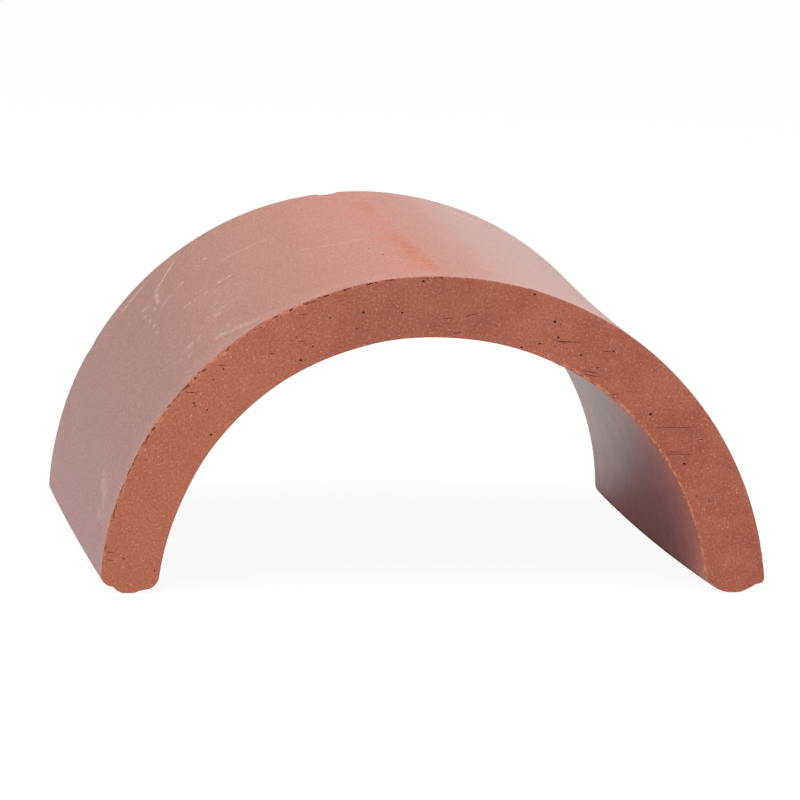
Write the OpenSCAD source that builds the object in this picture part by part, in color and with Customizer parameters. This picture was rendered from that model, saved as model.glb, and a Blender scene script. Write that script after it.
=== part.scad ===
// Half-round clay roof tile.
// A thick clay pipe is extruded with a groove inside and outside along each flank, wire-cut to length,
// fired, and split along the grooves into two tiles. Each tile is one solid: an arch of even wall with
// cut ends, and two feet with rounded corners and the broken web of the split between them. The split
// runs a little askew, so the tile stands on its feet with its crown rising from the front to the back.
// Frame: millimetres, +X across the arch, +Y along the tile, +Z up.
// Origin: on the floor, midway between the feet and midway along the length.

/* [Arch] */
// Outer diameter of the arch
outer_diameter = 200; // [140:1:320]
// Thickness of the clay wall
wall = 18; // [12:0.5:30]
// Length of the tile, from one wire-cut end to the other
tile_length = 180; // [80:1:450]
// Height of the feet's underside above the axis of the arch, midway along the tile
foot_lift = 2; // [0:0.5:12]
// How much higher the crown stands at the back end than at the front
crown_rise = 7; // [0:0.5:10]

/* [Feet] */
// Radius of the rounded corners that the splitting grooves leave on each foot
groove_round = 4; // [1:0.25:4]
// Flat shoulder between a rounded corner and the broken web
groove_shoulder = 0.5; // [0.25:0.25:1]
// How far the broken web stands below the shoulders
web_height = 1.2; // [0.4:0.2:3]

/* [Finish] */
// Colour of the fired clay
clay_colour = "#B0684F"; // [#B0684F:Terracotta, #B28C82:Mauve, #8E4A36:Dark red]

/* [Hidden] */
$fn = 128;

outer_radius = outer_diameter / 2;
inner_radius = outer_radius - wall;
// How far a trimming shape reaches past the clay
reach = wall;
// Angle at which the axis of the pipe rises towards the back
axis_tilt = atan(crown_rise / tile_length);

// Height of a rounded corner's centre above the floor, and above the axis midway along the tile
corner_z = web_height + groove_round;
corner_rise = corner_z + foot_lift;
// How far a rounded corner stands out past the skin, so that it cuts the skin all along the tile
corner_stand = 0.25;
// Distance across the tile from its middle to the centres of a foot's two rounded corners
outer_corner_x = sqrt(pow(outer_radius, 2) - pow(corner_rise, 2)) + corner_stand - groove_round;
inner_corner_x = sqrt(pow(inner_radius, 2) - pow(corner_rise, 2)) - corner_stand + groove_round;
// Edges of the broken web
web_outer_x = outer_corner_x - groove_shoulder;
web_inner_x = inner_corner_x + groove_shoulder;

// The pipe that the tile is split from, rising along Y and running on past both ends
module pipe() {
    run = tile_length + outer_diameter;
    translate([0, 0, -foot_lift]) rotate([axis_tilt - 90, 0, 0]) difference() {
        cylinder(h = run, r = outer_radius, center = true);
        cylinder(h = run + 2 * reach, r = inner_radius, center = true);
    }
}

// What the wire cuts and the split leave of the pipe: all that is above the floor, between the two ends
module between_cuts() {
    translate([-outer_diameter, -tile_length / 2, 0])
        cube([2 * outer_diameter, tile_length, outer_diameter]);
}

// What the split takes from one side of a foot, seen from the end of the tile. The rounded corner's centre
// lies at corner_x, the web's edge at web_x, and skin_side is 1 towards the outer skin or -1 towards the inner
module foot_trim(corner_x, web_x, skin_side) {
    // Where the web's rounded edge runs into its flat underside
    land_x = web_x - skin_side * web_height;
    difference() {
        polygon([
            [land_x, -reach],
            [land_x, web_height],
            [corner_x, web_height],
            [corner_x, corner_z],
            [corner_x + skin_side * reach, corner_z],
            [corner_x + skin_side * reach, -reach]
        ]);
        translate([corner_x, corner_z]) circle(r = groove_round);
        translate([land_x, web_height]) circle(r = web_height);
    }
}

// A shape drawn across the tile at corner_x, carried along the foot: the rising pipe is wider at the height
// of the feet towards the back, so the foot leans outwards with its skin
module along_foot(corner_x) {
    lean = atan(tan(axis_tilt) * corner_rise / corner_x);
    rotate([0, 0, -lean]) rotate([90, 0, 0])
        linear_extrude(tile_length + 2 * reach, center = true) children();
}

module tile() {
    color(clay_colour) difference() {
        intersection() {
            pipe();
            between_cuts();
        }
        for (side = [0, 1]) mirror([side, 0, 0]) {
            along_foot(outer_corner_x) foot_trim(outer_corner_x, web_outer_x, 1);
            along_foot(inner_corner_x) foot_trim(inner_corner_x, web_inner_x, -1);
        }
    }
}

tile();
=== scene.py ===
import math
import random

import bpy
from mathutils import Matrix, Vector, noise


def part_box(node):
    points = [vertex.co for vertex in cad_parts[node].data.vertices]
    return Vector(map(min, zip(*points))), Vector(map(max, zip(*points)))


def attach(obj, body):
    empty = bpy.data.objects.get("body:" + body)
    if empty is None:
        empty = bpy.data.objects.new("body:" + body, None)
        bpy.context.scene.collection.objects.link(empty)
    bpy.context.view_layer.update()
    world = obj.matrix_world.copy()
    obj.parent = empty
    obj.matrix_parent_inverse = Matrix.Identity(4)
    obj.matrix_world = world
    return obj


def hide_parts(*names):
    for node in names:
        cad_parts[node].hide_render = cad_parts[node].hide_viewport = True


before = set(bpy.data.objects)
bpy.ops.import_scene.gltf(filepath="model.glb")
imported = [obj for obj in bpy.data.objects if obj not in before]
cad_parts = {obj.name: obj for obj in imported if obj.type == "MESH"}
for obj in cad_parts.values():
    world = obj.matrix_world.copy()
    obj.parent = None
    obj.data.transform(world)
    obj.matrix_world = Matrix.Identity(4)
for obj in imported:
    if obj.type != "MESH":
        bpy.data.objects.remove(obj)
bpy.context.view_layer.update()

MM = 0.001

# Sizes of the tile, taken from the frame where it holds them, to a hundredth of a millimetre
SIZE_DIGITS = 5
low_corner, high_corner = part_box("tile")
TILE_LENGTH = round(high_corner.y - low_corner.y, SIZE_DIGITS)
HALF_LENGTH = TILE_LENGTH / 2
WALL = 18 * MM

# The arch's axis lies this far under the floor midway along the tile, and rises towards the back
FOOT_LIFT = 2 * MM
CROWN_RISE = 7 * MM
OUTER_R = round(high_corner.z + FOOT_LIFT - CROWN_RISE / 2, SIZE_DIGITS)
INNER_R = OUTER_R - WALL

# What the split left on each side of a foot, in millimetres: radius of the round corner at the front,
# midway and at the back, how many times wider than high that corner is, then the shoulder: where its
# slope starts, its height above the floor, the slope's width, and how fast the slope falls
LEFT_OUTER = ((4.4, 3.4, 2.4), 1.0, 4.3, 2.0, 4.7, 3.0)
LEFT_INNER = ((4.0, 4.0, 4.0), 1.0, 5.0, 1.1, 4.0, 2.5)
RIGHT_OUTER = ((2.2, 2.6, 3.0), 1.0, 2.4, 2.7, 6.4, 1.4)
RIGHT_INNER = ((6.5, 3.0, 5.0), 1.2, 7.0, 0.1, 2.0, 1.0)

# The torn web between the corners: how high its crags are, how far its edge wanders, and the spans of both
# across the foot and along it. The foot's own shape reaches up to the end of its zone
WEB_TEAR = 0.3 * MM
CRAG_SPAN = 2.5 * MM
CRAG_LENGTH = 6 * MM
TEAR_WANDER = 0.5 * MM
TEAR_SPAN = 3 * MM
TEAR_LENGTH = 9 * MM
FOOT_ZONE = 14 * MM

# How far the kiln drew the arch out of round: degrees from the right foot, millimetres at the front,
# midway along and at the back
KILN_SWELL = [
    (0, 0.3, 0.0, -0.2),
    (30, 0.3, -0.4, 0.0),
    (50, 0.2, -0.7, 0.2),
    (65, -0.2, -0.3, 0.4),
    (86, -0.5, -0.1, 0.3),
    (105, -0.1, 0.0, 0.0),
    (128, 0.4, 0.1, -0.3),
    (146, 0.3, 0.0, -0.4),
    (162, -0.1, 0.0, -0.1),
    (180, -0.9, 0.2, 0.3),
]

# Down the left leg, from the first of these angles to the second, the swell moves the skin but less and
# less of the inside, so the wall thins at the front
LEFT_THINS_FROM = math.radians(148)
LEFT_THINNEST = math.radians(170)

# Faint waves in the skin, and the lean of the wire-cut ends
SKIN_WAVE = 0.05 * MM
SKIN_WAVE_SPAN = 45 * MM
SKIN_WAVE_LENGTH = 90 * MM
END_LEAN = 0.08 * MM
END_LEAN_SPAN = 30 * MM

# Mesh fineness
ARCH_STEPS = 600
WALL_CELLS = 18
WALL_CROWD = 0.84
LENGTH_CELLS = 40
LENGTH_CROWD = 0.95
MERGE_REACH = 0.01 * MM
SMOOTH_ANGLE = math.radians(35)

# Crumbled arrises at the wire-cut ends: the front's outer one is weak from the crown to the left, and the
# rest crumbles only by a share of that
ARRIS_LEAST = 0.2 * MM
ARRIS_CRUMB = 0.6 * MM
CRUMB_SPAN = 2.6 * MM
CRUMB_FINE_SPAN = 0.8 * MM
WEAK_FROM = math.radians(84)
WEAKEST = math.radians(100)
SOUND_SHARE = 0.3
INNER_SHARE = 0.25

# The burr that the wire pushed up on the inside, right of the crown
BURR_HEIGHT = 0.25 * MM
BURR_LIP = 0.28 * MM
BURR_WIDTH = 0.8 * MM
BURR_SPAN = 2.3 * MM
BURR_FINE_SPAN = 0.9 * MM
BURR_FROM = math.radians(78)
BURR_FULL = math.radians(62)

# Which faces are ends, and which are torn soles: how far they look that way, and how low a sole lies
END_FACING = 0.3
SOLE_FACING = 0.5
SOLE_TOP = 2.2 * MM

# Marks on the front end, as degrees from the right foot and millimetres of depth from the skin: pores with
# their radius, and scores from grit under the wire with their length and tilt in degrees
FRONT_PORES = [
    (93.1, 1.3, 0.5),
    (104.4, 8.2, 0.5),
    (97.3, 10.2, 0.33),
    (106.4, 12.4, 0.35),
    (118.8, 15.1, 0.5),
    (122.9, 9.2, 0.35),
    (115.5, 12.9, 0.33),
    (73.6, 1.2, 0.45),
    (68.5, 6.8, 0.5),
    (66.7, 10.7, 0.4),
    (69.6, 14.4, 0.45),
    (72.8, 17.2, 0.4),
    (61.2, 12.4, 0.35),
    (56.3, 6.5, 0.33),
    (42.9, 13.4, 0.5),
    (30.8, 13.8, 0.45),
    (33.1, 5.8, 0.3),
    (139.4, 5.3, 0.33),
    (152.4, 3.2, 0.3),
    (141.9, 15.2, 0.4),
]
FRONT_SCORES = [
    (33.0, 13.6, 8.5, -1),
    (33.8, 14.2, 5.0, -1),
    (37.7, 10.0, 13.0, 0),
    (51.0, 16.5, 3.0, 8),
    (57.9, 15.4, 6.0, -10),
    (57.3, 16.1, 4.5, -12),
    (57.4, 7.7, 2.4, -3),
    (64.8, 10.7, 9.0, -3),
    (65.5, 11.4, 4.0, -4),
    (84.1, 10.7, 4.5, 14),
    (88.5, 12.2, 3.0, 6),
    (86.6, 16.4, 2.6, 12),
    (114.7, 3.1, 2.8, -6),
    (117.0, 10.1, 2.0, 4),
    (131.3, 3.2, 3.0, 0),
    (138.3, 2.7, 4.5, -4),
    (169.6, 2.0, 3.2, -8),
    (170.9, 2.3, 2.4, -8),
]
# Nicks along the front's outer arris: degrees and length
FRONT_NICKS = [
    (90.1, 2.0),
    (98.6, 2.2),
    (102.4, 3.0),
    (106.3, 3.4),
    (109.9, 3.0),
    (113.6, 2.6),
    (138.2, 1.6),
    (142.5, 2.0),
    (147.1, 1.8),
    (148.8, 2.4),
    (150.4, 2.6),
    (153.0, 2.0),
    (155.5, 3.0),
    (158.1, 1.8),
    (162.9, 1.6),
    (168.9, 2.2),
]
# Pores in the skin: degrees, place along and radius
SKIN_PORES = [
    (97.7, -30.8, 0.3),
    (96.3, -45.0, 0.42),
    (100.9, -71.3, 0.22),
    (98.1, -84.0, 0.3),
    (108.4, -44.0, 0.2),
]
# Flakes off the arrises: degrees and place along, then reach round the arch, along it and down
FLAKES = [
    (73.8, -90, 2.2, 1.0, 0.7),
    (121.5, -90, 3.4, 1.0, 0.7),
    (96.2, 90, 3.6, 6.0, 0.62),
    (46.0, 90, 2.2, 1.4, 0.9),
    (151.0, 90, 2.8, 1.5, 0.9),
]

# The lump that all of these are cut with: how uneven it is, and how many waves it has
LUMP_UNEVEN = 0.22
LUMP_WAVES = 2.3

# Sizes of the marks. A pair holds the limits of a random draw. Arcs, tilts and turns are in degrees, and
# the flattening, the stretch and NICK_REACH are shares. RANDOM_PORES and RANDOM_NICKS are counts for each
# end
SEED = 11
END_ARC = (8, 172)
LEVEL_TILT = 4
PORE_FLATTENED = (0.6, 0.9)
RANDOM_PORES = 16
RANDOM_PORE_RADIUS = (0.14, 0.3)
RANDOM_PORE_STRETCH = 1.3
PORE_MARGIN = 1.5 * MM
SKIN_PORE_SUNK = 0.1 * MM
SCORE_DEEP = 0.2
SCORE_HIGH = 0.12
BACK_SCORE_REACH = (0.8, 4.0)
BACK_SCORE_ARC = (12, 168)
BACK_SCORE_UNDER = (5, 13)
NICK_REACH = 0.4
NICK_DEEP = 0.34
NICK_HIGH = (0.15, 0.34)
NICK_UNDER = (0.15, 0.5)
RANDOM_NICKS = 44
RANDOM_NICK_REACH = (0.2, 0.9)
RANDOM_NICK_DEEP = 0.26
RANDOM_NICK_HIGH = (0.1, 0.3)
RANDOM_NICK_UNDER = (0.1, 0.8)
RANDOM_NICK_TURN = 14
FRONT_NICK_ARC = (86, 172)

# Studio: the floor's paint as it throws light back and as the camera sees it, its glow for the camera, the
# world's light, and the lamp
FLOOR_SIDE = 14
FLOOR_PAINT = (0.85, 0.85, 0.85, 1)
FLOOR_SEEN = (0.12, 0.12, 0.12, 1)
FLOOR_GLOW = 0.92
WORLD_LIGHT = 0.5
WHITE = (1, 1, 1, 1)
LAMP_SPOT = (-0.35, -0.6, 1.6)
LAMP_AIM = (0, 0, 0.05)
LAMP_SIDE = 1.4
LAMP_POWER = 22.0

# Camera, fitted to the photograph's frame of 800 by 800 pixels
IMAGE_SIDE = 800
SENSOR = 36.0
FOCAL_PIXELS = 4944.5
CAMERA_DISTANCE = 1.55
CAMERA_YAW = math.radians(-8.467)
CAMERA_PITCH = math.radians(7.815)
CAMERA_ROLL = math.radians(1.426)
ORIGIN_PIXEL = (390.17, 542.41)

# Places of the finishes in the tile's list of materials
SKIN, CUT, TORN = range(3)


def colour(red, green, blue):
    """A linear colour for a shader socket, from the 0 to 255 values that a screen shows."""
    shares = [c / 255 for c in (red, green, blue)]
    linear = [s / 12.92 if s <= 0.04045 else ((s + 0.055) / 1.055) ** 2.4 for s in shares]
    return (*linear, 1.0)


# The skin's colours by degrees from the right foot
SKIN_TONES = [
    (0, colour(172, 114, 100)),
    (60, colour(182, 114, 95)),
    (88, colour(185, 112, 91)),
    (90, colour(191, 118, 93)),
    (98, colour(184, 116, 95)),
    (120, colour(163, 104, 84)),
    (140, colour(150, 97, 83)),
    (175, colour(168, 122, 119)),
]

# Rubbed lines on the skin: degrees and millimetres along at both ends, width in millimetres, strength
SCRATCHES = [
    (128.5, 77, 132.1, 64, 1.7, 0.5),
    (132.1, 64, 134.2, 57, 2.2, 0.5),
    (134.2, 57, 134.9, 39, 2.4, 0.45),
    (136.8, 81, 139.0, 79, 7.0, 0.3),
    (138.0, 80, 140.9, 78, 6.0, 0.35),
    (120.2, 31, 112.7, 29.5, 4.5, 0.22),
    (108.4, -8, 102.2, -14, 1.0, 0.5),
    (102.2, -14, 95.2, -11.5, 1.0, 0.4),
    (131.1, 2.4, 126.2, -1, 1.4, 0.45),
    (123.6, 1.6, 121.2, 1.5, 2.0, 0.6),
    (130.5, 35.6, 128.9, 38.3, 2.6, 0.35),
    (134.5, 30, 132.5, 33, 3.0, 0.22),
    (138.1, 49, 136.9, 47, 2.6, 0.4),
    (136.4, 37, 136.0, 34, 2.4, 0.35),
    (138.3, 40, 138.2, 38, 2.2, 0.38),
    (137.9, 28, 137.9, 26, 2.0, 0.38),
    (137.7, 16.5, 137.7, 14, 2.0, 0.34),
    (137.7, 5, 137.7, 2, 2.0, 0.28),
    (123.4, 50.5, 123.3, 49, 2.0, 0.5),
    (72.9, 73, 69.7, 66, 4.5, 0.4),
    (128.7, -69, 122.6, -81, 6.0, 0.28),
    (92.2, -85, 90.2, -87, 1.8, 0.6),
    (161.0, -46, 163.5, -68, 7.0, 0.2),
    (166.5, -60, 165.5, -76, 6.0, 0.14),
]

# Patches of fine scuffs round the arch: degrees and millimetres along, reach round and along, strength
SCUFFS = [
    (127.0, -37, 6.5, 11.0, 0.75),
    (132.8, -51, 5.5, 6.0, 0.8),
    (134.4, -62, 3.5, 3.5, 0.7),
    (130.4, -21, 3.0, 2.5, 0.6),
    (127.0, -66, 8.0, 9.0, 0.5),
    (124.0, -20, 12.0, 30.0, 0.25),
    (135.0, -40, 12.0, 40.0, 0.2),
    (137.0, -78, 12.0, 8.0, 0.3),
    (162.0, -58, 5.0, 16.0, 0.35),
]


# Shader helpers


def fill(tree, made, inputs):
    """Links or sets the inputs of a node."""
    for key, value in inputs.items():
        if isinstance(value, bpy.types.NodeSocket):
            tree.links.new(value, made.inputs[key])
        else:
            made.inputs[key].default_value = value


def put(tree, kind, inputs=None, **settings):
    """Adds a shader node, sets its options, then fills its inputs."""
    made = tree.nodes.new("ShaderNode" + kind)
    for name, value in settings.items():
        setattr(made, name, value)
    fill(tree, made, inputs or {})
    return made


def sums(tree, operation, first, second=0.0, third=0.0):
    """One Math node."""
    return put(tree, "Math", {0: first, 1: second, 2: third}, operation=operation).outputs[0]


def times(tree, first, *others):
    """The product of several values."""
    for other in others:
        first = sums(tree, "MULTIPLY", first, other)
    return first


def vectors(tree, operation, first, second=(0, 0, 0)):
    """One Vector Math node, by its output that holds the answer."""
    made = put(tree, "VectorMath", {0: first, 1: second}, operation=operation)
    return made.outputs["Value" if operation in ("DOT_PRODUCT", "LENGTH", "DISTANCE") else "Vector"]


def fade(tree, value, start, end, least=0.0, most=1.0):
    """A smooth step from least to most as value goes from start to end."""
    ranged = put(
        tree,
        "MapRange",
        {"Value": value, "From Min": start, "From Max": end, "To Min": least, "To Max": most},
        interpolation_type="SMOOTHSTEP",
    )
    return ranged.outputs["Result"]


def mixed(tree, share, first, second):
    """One colour laid over another by a share."""
    return put(tree, "Mix", {0: share, 6: first, 7: second}, data_type="RGBA").outputs[2]


def noise_at(tree, place, scale, detail=2.0, rough=0.5):
    """Plain noise from 0 to 1."""
    made = put(tree, "TexNoise", {"Vector": place, "Scale": scale, "Detail": detail, "Roughness": rough})
    return made.outputs["Fac"]


def stretched(tree, place, scale, shift=(0, 0, 0)):
    """Coordinates with each axis scaled by itself, then shifted."""
    made = put(tree, "Mapping", {"Vector": place, "Scale": scale, "Location": shift}, vector_type="POINT")
    return made.outputs["Vector"]


def new_group(name, inputs, outputs):
    """An empty shader node group with its named sockets, and its two end nodes."""
    tree = bpy.data.node_groups.new(name, "ShaderNodeTree")
    for label, kind in inputs:
        tree.interface.new_socket(label, in_out="INPUT", socket_type="NodeSocket" + kind)
    for label, kind in outputs:
        tree.interface.new_socket(label, in_out="OUTPUT", socket_type="NodeSocket" + kind)
    return tree, tree.nodes.new("NodeGroupInput"), tree.nodes.new("NodeGroupOutput")


def placed_group(tree, group, inputs):
    """A node that places a group in a material, with its own values."""
    made = tree.nodes.new("ShaderNodeGroup")
    made.node_tree = group
    fill(tree, made, inputs)
    return made.outputs


# Shared effects


def arch_place_group():
    """A point's place on the arch: degrees from the right foot, millimetres of depth, arc and length."""
    tree, given, result = new_group(
        "arch_place",
        [("Place", "Vector")],
        [("Angle", "Float"), ("Depth", "Float"), ("Along", "Float"), ("Spot", "Vector")],
    )
    parts = put(tree, "SeparateXYZ", {0: given.outputs["Place"]}).outputs
    climb = sums(tree, "MULTIPLY_ADD", parts["Y"], -CROWN_RISE / TILE_LENGTH, FOOT_LIFT)
    height = sums(tree, "ADD", parts["Z"], climb)
    turn = sums(tree, "ARCTAN2", height, parts["X"])
    upright = put(tree, "CombineXYZ", {0: parts["X"], 1: height}).outputs[0]
    reach = vectors(tree, "LENGTH", upright)
    along = sums(tree, "DIVIDE", parts["Y"], MM)
    arc = sums(tree, "MULTIPLY", turn, OUTER_R / MM)
    tree.links.new(sums(tree, "DEGREES", turn), result.inputs["Angle"])
    tree.links.new(times(tree, sums(tree, "SUBTRACT", OUTER_R, reach), 1 / MM), result.inputs["Depth"])
    tree.links.new(along, result.inputs["Along"])
    tree.links.new(put(tree, "CombineXYZ", {0: arc, 1: along}).outputs[0], result.inputs["Spot"])
    return tree


def grit(tree, place, scale, share, least, most):
    """Scattered dots of uneven size: a share of the cells has one, each of its own radius."""
    cells = put(tree, "TexVoronoi", {"Vector": place, "Scale": scale, "Randomness": 1.0}).outputs
    chance = put(tree, "SeparateColor", {0: cells["Color"]}).outputs
    chosen = sums(tree, "LESS_THAN", chance[0], share)
    radius = sums(tree, "MULTIPLY_ADD", chance[1], most - least, least)
    return times(tree, chosen, fade(tree, cells["Distance"], radius, times(tree, radius, 0.4)))


def clay_grain_group():
    """Fired clay close up: pale sand specks, pin holes darkened by painted shade with painted highlights on
    their rims, mottling, fine grain and an uneven height.
    """
    tree, given, result = new_group(
        "clay_grain",
        [("Place", "Vector"), ("Speck Share", "Float"), ("Hole Share", "Float")],
        [
            ("Specks", "Float"),
            ("Shaded Holes", "Float"),
            ("Rim Highlights", "Float"),
            ("Mottle", "Float"),
            ("Fine", "Float"),
            ("Height", "Float"),
        ],
    )
    place = given.outputs["Place"]
    stir = put(tree, "TexNoise", {"Vector": place, "Scale": 1500.0, "Detail": 1.0}).outputs["Color"]
    stir = vectors(tree, "SUBTRACT", stir, (0.5, 0.5, 0.5))
    reach = (0.4 * MM, 0.4 * MM, 0.4 * MM)
    bent = put(tree, "VectorMath", {0: stir, 1: reach, 2: place}, operation="MULTIPLY_ADD").outputs[0]
    patches = fade(tree, noise_at(tree, place, 130.0, 2.0, 0.5), 0.4, 0.62, 0.3, 1.7)
    specks = grit(tree, bent, 1250.0, times(tree, patches, given.outputs["Speck Share"]), 0.16, 0.42)
    # Pin holes: dark dots of painted shade; round each, a ring of painted highlight on its rim
    shaded_holes = grit(tree, bent, 620.0, given.outputs["Hole Share"], 0.07, 0.2)
    rim_highlights = grit(tree, bent, 620.0, given.outputs["Hole Share"], 0.15, 0.42)
    fine = noise_at(tree, place, 1500.0, 3.0, 0.7)
    coarse = noise_at(tree, place, 260.0, 3.0, 0.55)
    height = sums(tree, "MULTIPLY_ADD", fine, 0.6, coarse)
    height = sums(tree, "MULTIPLY_ADD", specks, 0.25, height)
    height = sums(tree, "MULTIPLY_ADD", shaded_holes, -1.6, height)
    tree.links.new(specks, result.inputs["Specks"])
    tree.links.new(shaded_holes, result.inputs["Shaded Holes"])
    tree.links.new(rim_highlights, result.inputs["Rim Highlights"])
    tree.links.new(noise_at(tree, place, 70.0, 6.0, 0.7), result.inputs["Mottle"])
    tree.links.new(fine, result.inputs["Fine"])
    tree.links.new(height, result.inputs["Height"])
    return tree


def stroke_group():
    """A straight rubbed mark on the skin between two spots, soft at its sides."""
    tree, given, result = new_group(
        "stroke",
        [("Spot", "Vector"), ("Start", "Vector"), ("End", "Vector"), ("Width", "Float")],
        [("Mark", "Float")],
    )
    way = vectors(tree, "SUBTRACT", given.outputs["End"], given.outputs["Start"])
    here = vectors(tree, "SUBTRACT", given.outputs["Spot"], given.outputs["Start"])
    share = sums(
        tree,
        "DIVIDE",
        vectors(tree, "DOT_PRODUCT", here, way),
        vectors(tree, "DOT_PRODUCT", way, way),
    )
    share = put(tree, "Clamp", {"Value": share}).outputs[0]
    nearest = put(tree, "VectorMath", {0: way, "Scale": share}, operation="SCALE").outputs["Vector"]
    away = vectors(tree, "DISTANCE", here, nearest)
    mark = fade(tree, sums(tree, "DIVIDE", away, given.outputs["Width"]), 0.5, 0.1)
    tree.links.new(mark, result.inputs["Mark"])
    return tree


arch_place = arch_place_group()
clay_grain = clay_grain_group()
stroke = stroke_group()


# Finishes


def new_material(name):
    """An empty node material, its Principled shader and the piece's own coordinates."""
    made = bpy.data.materials.new(name)
    made.use_nodes = True
    tree = made.node_tree
    shader = tree.nodes["Principled BSDF"]
    place = put(tree, "TexCoord").outputs["Object"]
    return made, tree, shader, place


def relief(tree, shader, height, strength, reach):
    """Bump on the shader's normal, from a height."""
    bump = put(tree, "Bump", {"Height": height, "Strength": strength, "Distance": reach})
    tree.links.new(bump.outputs["Normal"], shader.inputs["Normal"])


def grained(tree, base, fine, pale, dark):
    """A colour broken up by fine grain, towards a paler and a darker clay."""
    base = mixed(tree, fade(tree, fine, 0.5, 0.74, 0.0, 0.75), base, pale)
    return mixed(tree, fade(tree, fine, 0.5, 0.26, 0.0, 0.65), base, dark)


def crumb_and_burr_highlights(tree, arch, place):
    """Painted highlight where the outer arris crumbled, most of all on the left, and on the burr's lip
    inside right.
    """
    ragged = noise_at(tree, place, 620.0, 4.0, 0.7)
    broad = fade(tree, noise_at(tree, place, 110.0, 2.0, 0.5), 0.4, 0.6)
    left = fade(tree, arch["Angle"], 100.0, 122.0, 0.3, 1.0)
    outer = times(tree, fade(tree, arch["Depth"], 1.5, 0.2), left, fade(tree, ragged, 0.46, 0.58), broad)
    right = fade(tree, arch["Angle"], 72.0, 60.0, 0.1, 1.0)
    wall = WALL / MM
    lip = fade(tree, arch["Depth"], wall - 1.4, wall - 0.5)
    inner = times(tree, lip, right, fade(tree, ragged, 0.43, 0.57))
    return sums(tree, "MAXIMUM", times(tree, outer, 0.85), inner)


def cut_clay():
    """The wire-cut ends: matt orange clay with pale grit, pin holes and crumbled arrises."""
    made, tree, shader, place = new_material("cut_clay")
    arch = placed_group(tree, arch_place, {"Place": place})
    grain = placed_group(tree, clay_grain, {"Place": place, "Speck Share": 0.15, "Hole Share": 0.03})
    base = mixed(tree, fade(tree, grain["Mottle"], 0.3, 0.7), colour(163, 88, 67), colour(181, 108, 86))
    base = mixed(tree, fade(tree, arch["Angle"], 100.0, 140.0, 0.0, 0.6), base, colour(190, 116, 88))
    crown = times(tree, fade(tree, arch["Angle"], 70.0, 88.0), fade(tree, arch["Angle"], 118.0, 98.0))
    base = mixed(tree, times(tree, crown, 0.3), base, colour(150, 82, 62))
    base = grained(tree, base, grain["Fine"], colour(212, 140, 114), colour(134, 68, 52))
    # Painted highlight on the rims of the pin holes
    base = mixed(tree, times(tree, grain["Rim Highlights"], 0.4), base, colour(220, 160, 134))
    base = mixed(tree, times(tree, grain["Specks"], 0.7), base, colour(230, 172, 146))
    # Painted shade in the pin holes
    base = mixed(tree, times(tree, grain["Shaded Holes"], 0.75), base, colour(92, 46, 35))
    # Lighter orange: painted highlight on the crumbled arris and on the burr's lip
    base = mixed(tree, times(tree, crumb_and_burr_highlights(tree, arch, place), 0.9), base, colour(214, 140, 108))
    tree.links.new(base, shader.inputs["Base Color"])
    shader.inputs["Roughness"].default_value = 0.9
    shader.inputs["Specular IOR Level"].default_value = 0.3
    relief(tree, shader, grain["Height"], 0.6, 0.14 * MM)
    return made


def torn_clay():
    """The web under each foot, torn open where the pipe was split."""
    made, tree, shader, place = new_material("torn_clay")
    grain = placed_group(tree, clay_grain, {"Place": place, "Speck Share": 0.2, "Hole Share": 0.06})
    base = mixed(tree, grain["Mottle"], colour(150, 80, 60), colour(184, 108, 84))
    base = grained(tree, base, grain["Fine"], colour(206, 132, 106), colour(128, 66, 50))
    base = mixed(tree, times(tree, grain["Specks"], 0.5), base, colour(214, 150, 122))
    # Painted shade in the pin holes
    base = mixed(tree, times(tree, grain["Shaded Holes"], 0.85), base, colour(80, 40, 32))
    tree.links.new(base, shader.inputs["Base Color"])
    shader.inputs["Roughness"].default_value = 0.95
    shader.inputs["Specular IOR Level"].default_value = 0.25
    rough = noise_at(tree, place, 420.0, 5.0, 0.65)
    relief(tree, shader, sums(tree, "MULTIPLY_ADD", rough, 2.0, grain["Height"]), 0.8, 0.3 * MM)
    return made


def painted_hollow_shade(name, dark, light):
    """Painted shade: darker clay for the walls of pores, nicks and scores."""
    made, tree, shader, place = new_material(name)
    tone = noise_at(tree, place, 900.0, 2.0, 0.6)
    tree.links.new(mixed(tree, tone, dark, light), shader.inputs["Base Color"])
    shader.inputs["Roughness"].default_value = 0.95
    shader.inputs["Specular IOR Level"].default_value = 0.2
    relief(tree, shader, tone, 0.5, 0.1 * MM)
    return made


def skin_tone(tree, angle, grain):
    """The skin's own colour round the arch: paler right of the crown, warm at it, mauve down the left."""
    tones = put(tree, "ValToRGB", {"Fac": sums(tree, "DIVIDE", angle, 180.0)})
    ramp = tones.color_ramp
    ramp.elements[0].position = 0.0
    ramp.elements[0].color = SKIN_TONES[0][1]
    ramp.elements[1].position = SKIN_TONES[-1][0] / 180
    ramp.elements[1].color = SKIN_TONES[-1][1]
    for degrees, tone in SKIN_TONES[1:-1]:
        ramp.elements.new(degrees / 180).color = tone
    mottle = fade(tree, grain["Mottle"], 0.3, 0.7, 0.0, 0.1)
    base = mixed(tree, mottle, tones.outputs["Color"], colour(140, 84, 74))
    crown = times(tree, fade(tree, angle, 88.5, 91.0), fade(tree, angle, 101.0, 96.0))
    blotch = fade(tree, grain["Mottle"], 0.42, 0.6, 0.0, 0.34)
    base = mixed(tree, times(tree, crown, blotch), base, colour(206, 108, 82))
    base = mixed(tree, fade(tree, grain["Fine"], 0.5, 0.72, 0.0, 0.6), base, colour(214, 170, 158))
    return mixed(tree, fade(tree, grain["Fine"], 0.5, 0.3, 0.0, 0.6), base, colour(130, 80, 72))


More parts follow.
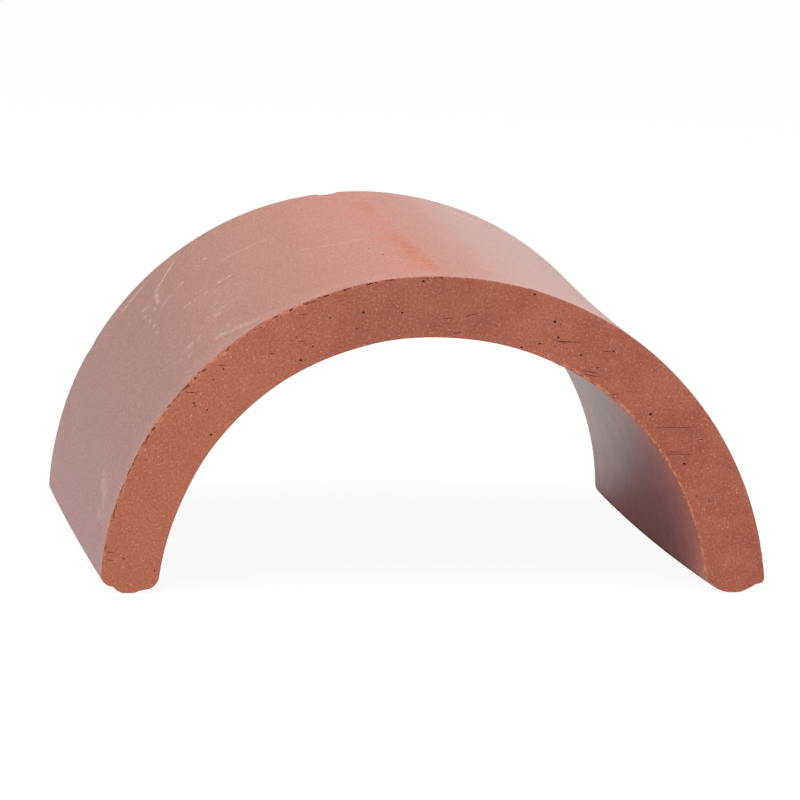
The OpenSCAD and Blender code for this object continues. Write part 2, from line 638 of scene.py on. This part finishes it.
def crown_streak(tree, arch, place):
    """Where the die left a raw orange streak along the crown: sharp on its right, fading to the left."""
    ragged = sums(tree, "MULTIPLY_ADD", noise_at(tree, place, 200.0, 6.0, 0.7), 3.6, -1.8)
    drift = sums(tree, "MULTIPLY_ADD", arch["Along"], -0.012, ragged)
    across = sums(tree, "ADD", arch["Angle"], drift)
    near = times(tree, fade(tree, across, 89.2, 90.2), fade(tree, across, 95.5, 91.0))
    front = times(tree, fade(tree, arch["Along"], -90.0, -66.0), fade(tree, arch["Along"], 20.0, -34.0))
    back = times(tree, fade(tree, arch["Along"], 30.0, 52.0), fade(tree, arch["Along"], 74.0, 56.0))
    strength = sums(tree, "MAXIMUM", sums(tree, "MULTIPLY_ADD", back, 0.7, front), 0.3)
    patchy = fade(tree, noise_at(tree, place, 180.0, 6.0, 0.75), 0.36, 0.62, 0.15, 1.0)
    granular = fade(tree, noise_at(tree, place, 520.0, 4.0, 0.7), 0.36, 0.6, 0.35, 1.0)
    return times(tree, near, strength, patchy, granular)


def scratches(tree, arch, place):
    """Every rubbed line on the skin, broken up as real ones are."""
    total = None
    for start_angle, start_along, end_angle, end_along, width, strength in SCRATCHES:
        start = (math.radians(start_angle) * OUTER_R / MM, start_along, 0)
        end = (math.radians(end_angle) * OUTER_R / MM, end_along, 0)
        ends = {"Spot": arch["Spot"], "Start": start, "End": end, "Width": width}
        mark = times(tree, placed_group(tree, stroke, ends)["Mark"], strength)
        total = mark if total is None else sums(tree, "MAXIMUM", total, mark)
    return times(tree, total, fade(tree, noise_at(tree, place, 640.0, 4.0, 0.7), 0.36, 0.6))


def scuffs(tree, arch):
    """Patches of fine nicks that run round the arch."""
    hatch = noise_at(tree, stretched(tree, arch["Spot"], (0.3, 1.5, 1.0)), 1.0, 3.0, 0.6)
    total = None
    for angle, along, round_reach, along_reach, strength in SCUFFS:
        scale = (1 / round_reach, 1 / along_reach, 0)
        shift = (-math.radians(angle) * OUTER_R / MM * scale[0], -along * scale[1], 0)
        away = vectors(tree, "LENGTH", stretched(tree, arch["Spot"], scale, shift))
        patch = times(tree, fade(tree, away, 1.0, 0.3), strength)
        total = patch if total is None else sums(tree, "MAXIMUM", total, patch)
    return times(tree, total, fade(tree, hatch, 0.54, 0.66))


def fired_skin():
    """The smooth skin that the die left, rubbed and scratched in places."""
    made, tree, shader, place = new_material("fired_skin")
    arch = placed_group(tree, arch_place, {"Place": place})
    grain = placed_group(tree, clay_grain, {"Place": place, "Speck Share": 0.05, "Hole Share": 0.006})
    base = skin_tone(tree, arch["Angle"], grain)
    inside = fade(tree, arch["Depth"], 8.0, 10.0)
    deep = fade(tree, arch["Along"], -86.0, -40.0)
    lining = mixed(tree, deep, colour(206, 124, 104), colour(195, 138, 141))
    clouds = fade(tree, noise_at(tree, place, 70.0, 5.0, 0.7), 0.35, 0.65, 0.0, 0.4)
    lining = mixed(tree, clouds, lining, colour(156, 100, 96))
    lining = grained(tree, lining, grain["Fine"], colour(220, 168, 162), colour(146, 94, 92))
    base = mixed(tree, inside, base, lining)
    outside = sums(tree, "SUBTRACT", 1.0, inside)
    streak = times(tree, crown_streak(tree, arch, place), outside)
    base = mixed(tree, streak, base, colour(188, 106, 74))
    brushed = noise_at(tree, stretched(tree, arch["Spot"], (0.1, 1.4, 1.0)), 1.0, 3.0, 0.6)
    front = fade(tree, arch["Along"], -74.0, -88.0)
    worn = times(tree, front, outside, fade(tree, brushed, 0.4, 0.65, 0.0, 0.22))
    base = mixed(tree, worn, base, colour(224, 178, 160))
    rubbed = sums(tree, "MAXIMUM", scratches(tree, arch, place), scuffs(tree, arch))
    base = mixed(tree, times(tree, rubbed, outside), base, colour(228, 204, 194))
    base = mixed(tree, times(tree, grain["Specks"], 0.4), base, colour(226, 190, 176))
    # Painted shade in the pin holes
    base = mixed(tree, times(tree, grain["Shaded Holes"], 0.6), base, colour(96, 52, 44))
    tree.links.new(base, shader.inputs["Base Color"])
    right_side = fade(tree, arch["Angle"], 96.0, 72.0)
    gloss = sums(tree, "MULTIPLY_ADD", sums(tree, "MAXIMUM", right_side, inside), -0.2, 0.5)
    gloss = sums(tree, "MULTIPLY_ADD", streak, 0.2, gloss)
    gloss = sums(tree, "MULTIPLY_ADD", grain["Mottle"], 0.06, gloss)
    tree.links.new(gloss, shader.inputs["Roughness"])
    relief(tree, shader, grain["Height"], 0.12, 0.05 * MM)
    return made


# Shape of the tile


def only_selected(obj):
    """Makes one object the selected and active one."""
    bpy.ops.object.select_all(action="DESELECT")
    obj.select_set(True)
    bpy.context.view_layer.objects.active = obj


def spun_body():
    """The level arch: a wall's edge spun from foot to foot, then bridged to its copy at the back."""
    bpy.ops.object.select_all(action="DESELECT")
    bpy.ops.mesh.primitive_plane_add(size=1, location=(-(OUTER_R + INNER_R) / 2, 0, 0))
    body = bpy.context.object
    body.name = "fired_tile"
    body.scale = (WALL, TILE_LENGTH, 1)
    bpy.ops.object.transform_apply(location=True, rotation=True, scale=True)
    bpy.ops.object.mode_set(mode="EDIT")
    bpy.ops.mesh.select_all(action="DESELECT")
    bpy.ops.object.mode_set(mode="OBJECT")
    for point in body.data.vertices:
        point.select = point.co.y > 0
    bpy.ops.object.mode_set(mode="EDIT")
    bpy.ops.mesh.delete(type="VERT")
    bpy.ops.mesh.select_all(action="SELECT")
    bpy.ops.mesh.subdivide(number_cuts=WALL_CELLS - 1)
    bpy.ops.mesh.spin(steps=ARCH_STEPS, angle=math.pi, center=(0, 0, 0), axis=(0, -1, 0))
    bpy.ops.mesh.select_all(action="SELECT")
    bpy.ops.mesh.duplicate_move(TRANSFORM_OT_translate={"value": (0, TILE_LENGTH, 0)})
    bpy.ops.mesh.select_all(action="SELECT")
    bpy.ops.mesh.region_to_loop()
    bpy.ops.mesh.bridge_edge_loops(number_cuts=LENGTH_CELLS - 1)
    bpy.ops.mesh.select_all(action="SELECT")
    bpy.ops.mesh.remove_doubles(threshold=MERGE_REACH)
    bpy.ops.mesh.normals_make_consistent(inside=False)
    bpy.ops.object.mode_set(mode="OBJECT")
    return body


def smooth_step(value, start, end):
    """0 at start, 1 at end, with no corner at either."""
    share = min(max((value - start) / (end - start), 0.0), 1.0)
    return share * share * (3 - 2 * share)


def lumpy(*spot):
    """Smooth noise from -1 to 1: places are given as shares of a span, plain numbers choose a row."""
    return noise.noise(Vector(spot))


def eased(share, crowd):
    """Draws shares of a span towards both of its ends, where arrises need small faces."""
    return share - crowd * math.sin(2 * math.pi * share) / (2 * math.pi)


def crowded(depth, along):
    """Draws the even cells of the new arch towards its arrises."""
    depth = WALL * eased(depth / WALL, WALL_CROWD)
    along = TILE_LENGTH * eased((along + HALF_LENGTH) / TILE_LENGTH, LENGTH_CROWD) - HALF_LENGTH
    return depth, along


def arris_size(turn, outside, front):
    """How much of the arris has crumbled away at this place round the arch."""
    arc = turn * OUTER_R
    row = 2.0 * outside + 5.0 * front
    fine = lumpy(arc / CRUMB_SPAN, row, 1.0)
    broad = lumpy(arc / (9 * CRUMB_SPAN), row, 2.0)
    bite = lumpy(arc / (0.4 * CRUMB_SPAN), row, 3.0)
    weak = smooth_step(turn, WEAK_FROM, WEAKEST) if front else 0.0
    strength = SOUND_SHARE + (1 - SOUND_SHARE) * weak if outside else INNER_SHARE
    return ARRIS_LEAST + ARRIS_CRUMB * strength * max(0.0, fine + 0.6 * broad + 0.8 * bite)


def broken_arris(turn, depth, along):
    """Breaks the sharp arris between an end and the skin."""
    end = HALF_LENGTH - abs(along)
    outside = depth <= WALL / 2
    inset = depth if outside else WALL - depth
    size = arris_size(turn, outside, along < 0)
    if inset > size or end > size:
        return depth, along
    share = (size - inset + end) / (2 * size)
    crumb = 0.3 * size * lumpy(turn * OUTER_R / CRUMB_FINE_SPAN, share * 2.0, along / MM)
    inset = size * (1 - share) + crumb
    along = math.copysign(HALF_LENGTH - size * share - crumb, along)
    return (inset if outside else WALL - inset), along


def wire_burr(turn, depth, along):
    """Pushes the inner arris of the front end out into a ragged lip, where the wire left the clay."""
    near = 1 - (WALL - depth) / BURR_WIDTH
    end = 1 - (along + HALF_LENGTH) / BURR_WIDTH
    if near <= 0 or end <= 0:
        return depth, along
    arc = turn * INNER_R
    lump = 0.2 + lumpy(arc / BURR_SPAN, 0.0, 5.0)
    lump += 0.7 * lumpy(arc / BURR_FINE_SPAN, 0.0, 6.0)
    right = smooth_step(turn, BURR_FROM, BURR_FULL)
    size = near * end * right * max(lump, 0.0)
    return depth + BURR_LIP * size, along - BURR_HEIGHT * size


def rounded_corner(inset, level, corner):
    """Bends the square corner of a foot round: where a point at this inset and height goes."""
    shell = min(inset, level)
    radius = corner - shell
    if inset > corner or level > corner or radius <= 0:
        return inset, level
    path = radius - (level - shell) if inset <= level else radius + inset - shell
    turn = path / radius * math.pi / 4
    return shell + radius * (1 - math.cos(turn)), shell + radius * (1 - math.sin(turn))


def three_way(front, middle, back, along):
    """A value that bends smoothly from the front of the tile through its middle to its back."""
    share = (along + HALF_LENGTH) / TILE_LENGTH
    ends = front * (1 - share) * (1 - 2 * share) + back * share * (2 * share - 1)
    return ends + middle * 4 * share * (1 - share)


def sole_level(start, shoulder, width, fall, inset, along):
    """Height of the sole above the floor: a shoulder by the round corner, then down the torn web."""
    tear = lumpy(inset / TEAR_SPAN, along / TEAR_LENGTH, 4.0)
    share = min(max((inset - start - TEAR_WANDER * tear) / width, 0.0), 1.0)
    crag = abs(lumpy(inset / CRAG_SPAN, along / CRAG_LENGTH, 9.0))
    return shoulder * (1 - share) ** fall + WEB_TEAR * crag * share


def shaped_foot(left, depth, along, level):
    """Where a point near the floor goes: corners bent round, sole raised to its torn web."""
    outside = depth <= WALL / 2
    if left:
        foot = LEFT_OUTER if outside else LEFT_INNER
    else:
        foot = RIGHT_OUTER if outside else RIGHT_INNER
    corners, stretch, start, shoulder, width, fall = foot
    inset = max(depth if outside else WALL - depth, 0.0)
    corner = three_way(*corners, along) * MM
    inset, level = rounded_corner(inset / stretch, level, corner)
    inset *= stretch
    sole = sole_level(start * MM, shoulder * MM, width * MM, fall, inset, along)
    level = sole + level * (FOOT_ZONE - sole) / FOOT_ZONE
    return (inset if outside else WALL - inset), level


def axis_level(along):
    """Height of the arch's axis above the floor."""
    return CROWN_RISE * along / TILE_LENGTH - FOOT_LIFT


def kiln_swell(turn, along):
    """How far the kiln drew the arch out or in at this place."""
    degrees = math.degrees(turn)
    for (start, *first), (end, *second) in zip(KILN_SWELL, KILN_SWELL[1:]):
        if degrees <= end:
            break
    part = smooth_step(degrees, start, end)
    front, middle, back = (a + (b - a) * part for a, b in zip(first, second))
    return three_way(front, middle, back, along) * MM


def moved_point(spot):
    """Where the making, the split and the kiln left one point of the level arch."""
    turn = math.atan2(max(spot.z, 0.0), spot.x)
    depth, along = crowded(OUTER_R - math.hypot(spot.x, spot.z), spot.y)
    depth, along = broken_arris(turn, depth, along)
    depth, along = wire_burr(turn, depth, along)
    axis = axis_level(along)
    level = (OUTER_R - depth + axis) * math.sin(turn)
    if level < FOOT_ZONE:
        depth, level = shaped_foot(spot.x < 0, depth, along, level)
    reach = OUTER_R - depth
    x = math.copysign(math.sqrt(max(reach ** 2 - (level - axis) ** 2, 0.0)), spot.x)
    place = Vector((x, 0, level - axis))
    thinned = smooth_step(turn, LEFT_THINS_FROM, LEFT_THINNEST)
    swell = kiln_swell(turn, along) * (1 - thinned * depth / WALL)
    swell += SKIN_WAVE * lumpy(x / SKIN_WAVE_SPAN, along / SKIN_WAVE_LENGTH, level / SKIN_WAVE_SPAN)
    place *= 1 + swell / reach
    lean = END_LEAN * lumpy(x / END_LEAN_SPAN, math.copysign(3.0, along), level / END_LEAN_SPAN)
    return Vector((place.x, along + lean, place.z + axis))


def shape_points(body):
    """Moves every point of the level arch to its place in the finished tile."""
    for point in body.data.vertices:
        point.co = moved_point(point.co)
    body.data.update()


def dress_faces(body, finishes):
    """Gives each face its finish by where it looks and lies."""
    for finish in finishes:
        body.data.materials.append(finish)
    for face in body.data.polygons:
        if abs(face.normal.y) > END_FACING:
            face.material_index = CUT
        elif face.normal.z < -SOLE_FACING and face.center.z < SOLE_TOP:
            face.material_index = TORN
        else:
            face.material_index = SKIN


def on_arch(angle, depth, along):
    """A point of the tile from degrees round the arch, depth under the skin and place along it."""
    turn = math.radians(angle)
    reach = OUTER_R - depth + kiln_swell(turn, along)
    return Vector((reach * math.cos(turn), along, reach * math.sin(turn) + axis_level(along)))


def cutter_seed(finish):
    """A small lump with few faces, which every pore, nick, score and flake is copied from."""
    bpy.ops.object.select_all(action="DESELECT")
    bpy.ops.mesh.primitive_ico_sphere_add(subdivisions=2, radius=1)
    seed = bpy.context.object
    seed.name = "lump"
    for point in seed.data.vertices:
        point.co *= 1 + LUMP_UNEVEN * noise.noise(point.co * LUMP_WAVES)
    seed.data.materials.append(finish)
    return seed


def cut_away(body, lumps, finish):
    """Cuts lumps, each a centre, a size along each axis and a turn, out of the tile."""
    seed = cutter_seed(finish)
    copies = []
    for centre, size, turn in lumps:
        copy = seed.copy()
        copy.data = seed.data.copy()
        copy.matrix_world = Matrix.Translation(centre) @ turn.to_4x4() @ Matrix.Diagonal((*size, 1))
        bpy.context.collection.objects.link(copy)
        copies.append(copy)
    bpy.data.objects.remove(seed)
    bpy.ops.object.select_all(action="DESELECT")
    for copy in copies:
        copy.select_set(True)
    bpy.context.view_layer.objects.active = copies[0]
    bpy.ops.object.join()
    cutter = bpy.context.object
    only_selected(body)
    cut = body.modifiers.new("pits", "BOOLEAN")
    cut.show_viewport = False
    cut.operation = "DIFFERENCE"
    cut.solver = "MANIFOLD"
    cut.material_mode = "TRANSFER"
    cut.object = cutter
    bpy.ops.object.modifier_apply(modifier=cut.name)
    bpy.data.objects.remove(cutter)


def drop_crumbs(body):
    """Deletes the loose crumbs that the cuts left, and gives back the tile."""
    name = body.name
    only_selected(body)
    bpy.ops.object.mode_set(mode="EDIT")
    bpy.ops.mesh.select_all(action="SELECT")
    bpy.ops.mesh.separate(type="LOOSE")
    bpy.ops.object.mode_set(mode="OBJECT")
    *crumbs, tile = sorted(bpy.context.selected_objects, key=lambda part: len(part.data.vertices))
    for crumb in crumbs:
        bpy.data.objects.remove(crumb)
    tile.name = name
    return tile


def any_turn(chance):
    """A turn drawn at random."""
    axis = Vector([chance.uniform(-1, 1) for _ in range(3)]).normalized()
    return Matrix.Rotation(chance.uniform(0, math.pi), 3, axis)


def level_turn(chance):
    """A slight tilt in the plane of an end."""
    return Matrix.Rotation(math.radians(chance.uniform(-LEVEL_TILT, LEVEL_TILT)), 3, "Y")


def round_turn(angle):
    """A turn that lays a lump along the arch at these degrees."""
    return Matrix.Rotation(math.radians(90 - angle), 3, "Y")


def pore_lumps(chance):
    """Pin holes in both ends and a few in the skin."""
    lumps = []
    for angle, depth, radius in FRONT_PORES:
        size = Vector((radius, radius, radius * chance.uniform(*PORE_FLATTENED))) * MM
        lumps.append((on_arch(angle, depth * MM, -HALF_LENGTH), size, level_turn(chance)))
    for end in (-HALF_LENGTH, HALF_LENGTH):
        for _ in range(RANDOM_PORES):
            radius = chance.uniform(*RANDOM_PORE_RADIUS) * MM
            centre = on_arch(chance.uniform(*END_ARC), chance.uniform(PORE_MARGIN, WALL - PORE_MARGIN), end)
            lumps.append((centre, Vector((radius, RANDOM_PORE_STRETCH * radius, radius)), any_turn(chance)))
    for angle, along, radius in SKIN_PORES:
        size = Vector((1, 1, 1)) * radius * MM
        lumps.append((on_arch(angle, SKIN_PORE_SUNK, along * MM), size, any_turn(chance)))
    return lumps


def score_lumps(chance):
    """Thin level scores that grit under the wire left on the ends."""
    lumps = []
    for angle, depth, length, tilt in FRONT_SCORES:
        size = Vector((length / 2, SCORE_DEEP, SCORE_HIGH)) * MM
        turn = Matrix.Rotation(math.radians(-tilt), 3, "Y")
        lumps.append((on_arch(angle, depth * MM, -HALF_LENGTH), size, turn))
    for _ in range(len(FRONT_SCORES)):
        size = Vector((chance.uniform(*BACK_SCORE_REACH), SCORE_DEEP, SCORE_HIGH)) * MM
        angle = chance.uniform(*BACK_SCORE_ARC)
        centre = on_arch(angle, chance.uniform(*BACK_SCORE_UNDER) * MM, HALF_LENGTH)
        lumps.append((centre, size, level_turn(chance)))
    return lumps


def nick_lumps(chance):
    """Short dark nicks under the outer arrises, where crumbs fell out."""
    lumps = []
    for angle, length in FRONT_NICKS:
        size = Vector((NICK_REACH * length, NICK_DEEP, chance.uniform(*NICK_HIGH))) * MM
        centre = on_arch(angle, chance.uniform(*NICK_UNDER) * MM, -HALF_LENGTH)
        lumps.append((centre, size, round_turn(angle)))
    for count in range(2 * RANDOM_NICKS):
        front = count < RANDOM_NICKS
        angle = chance.uniform(*(FRONT_NICK_ARC if front else END_ARC))
        reach = chance.uniform(*RANDOM_NICK_REACH)
        size = Vector((reach, RANDOM_NICK_DEEP, chance.uniform(*RANDOM_NICK_HIGH))) * MM
        turn = round_turn(angle + chance.uniform(-RANDOM_NICK_TURN, RANDOM_NICK_TURN))
        end = -HALF_LENGTH if front else HALF_LENGTH
        lumps.append((on_arch(angle, chance.uniform(*RANDOM_NICK_UNDER) * MM, end), size, turn))
    return lumps


def flake_lumps():
    """Larger flakes knocked off the outer arrises."""
    lumps = []
    for angle, along, *size in FLAKES:
        size = Vector(size) * MM
        lumps.append((on_arch(angle, 0.0, along * MM), size, round_turn(angle)))
    return lumps


def make_tile():
    """The whole tile, one fired piece."""
    chance = random.Random(SEED)
    body = spun_body()
    shape_points(body)
    cut = cut_clay()
    # Darker clay in the pores, nicks and scores: painted shade in their hollows
    pore = painted_hollow_shade("pore_painted_shade", colour(96, 50, 38), colour(136, 76, 58))
    score = painted_hollow_shade("score_painted_shade", colour(130, 68, 52), colour(162, 92, 70))
    dress_faces(body, [fired_skin(), cut, torn_clay()])
    cut_away(body, flake_lumps(), cut)
    cut_away(body, nick_lumps(chance), score)
    cut_away(body, score_lumps(chance), score)
    cut_away(body, pore_lumps(chance), pore)
    body = drop_crumbs(body)
    only_selected(body)
    bpy.ops.object.shade_smooth_by_angle(angle=SMOOTH_ANGLE)
    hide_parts("tile")
    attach(body, "root")


# Studio


def make_floor():
    """A plain white floor that keeps a light shadow."""
    bpy.ops.object.select_all(action="DESELECT")
    bpy.ops.mesh.primitive_plane_add(size=FLOOR_SIDE)
    floor = bpy.context.object
    floor.name = "studio_floor"
    made, tree, shader, _ = new_material("white_floor")
    shader.inputs["Roughness"].default_value = 1.0
    shader.inputs["Specular IOR Level"].default_value = 0.0
    seen = put(tree, "LightPath").outputs["Is Camera Ray"]
    tree.links.new(mixed(tree, seen, FLOOR_PAINT, FLOOR_SEEN), shader.inputs["Base Color"])
    shader.inputs["Emission Color"].default_value = WHITE
    tree.links.new(times(tree, seen, FLOOR_GLOW), shader.inputs["Emission Strength"])
    floor.data.materials.append(made)


def make_world():
    """White all round: full white to the eye and in reflections, softer as light."""
    world = bpy.data.worlds.new("white_studio")
    world.use_nodes = True
    tree = world.node_tree
    path = put(tree, "LightPath")
    seen = sums(tree, "MAXIMUM", path.outputs["Is Camera Ray"], path.outputs["Is Glossy Ray"])
    seen = sums(tree, "MAXIMUM", seen, path.outputs["Is Transmission Ray"])
    background = tree.nodes["Background"]
    background.inputs["Color"].default_value = WHITE
    strength = fade(tree, seen, 0.0, 1.0, WORLD_LIGHT, 1.0)
    tree.links.new(strength, background.inputs["Strength"])
    bpy.context.scene.world = world


def make_lamp():
    """A soft square lamp, high up in front of the tile and to its left, that looks at it."""
    bpy.ops.object.light_add(type="AREA", location=LAMP_SPOT)
    lamp = bpy.context.object
    lamp.name = "key_lamp"
    lamp.data.size = LAMP_SIDE
    lamp.data.energy = LAMP_POWER
    aim = Vector(LAMP_AIM) - Vector(LAMP_SPOT)
    lamp.rotation_euler = aim.to_track_quat("-Z", "Y").to_euler()


def make_camera():
    """The camera at the photograph's viewing angle."""
    ahead_level = Vector((-math.sin(CAMERA_YAW), math.cos(CAMERA_YAW), 0))
    right_level = Vector((math.cos(CAMERA_YAW), math.sin(CAMERA_YAW), 0))
    ahead = ahead_level * math.cos(CAMERA_PITCH) - Vector((0, 0, math.sin(CAMERA_PITCH)))
    up_level = ahead_level * math.sin(CAMERA_PITCH) + Vector((0, 0, math.cos(CAMERA_PITCH)))
    right = right_level * math.cos(CAMERA_ROLL) + up_level * math.sin(CAMERA_ROLL)
    up = up_level * math.cos(CAMERA_ROLL) - right_level * math.sin(CAMERA_ROLL)
    across, down = (CAMERA_DISTANCE * (p - IMAGE_SIDE / 2) / FOCAL_PIXELS for p in ORIGIN_PIXEL)
    spot = up * down - right * across - ahead * CAMERA_DISTANCE
    bpy.ops.object.camera_add()
    camera = bpy.context.object
    camera.name = "photo_camera"
    camera.data.sensor_width = SENSOR
    camera.data.lens = FOCAL_PIXELS * SENSOR / IMAGE_SIDE
    turn = Matrix((right, up, -ahead)).transposed()
    camera.matrix_world = Matrix.Translation(spot) @ turn.to_4x4()
    bpy.context.scene.camera = camera


make_tile()
make_floor()
make_world()
make_lamp()
make_camera()
bpy.context.scene.view_settings.view_transform = "Standard"
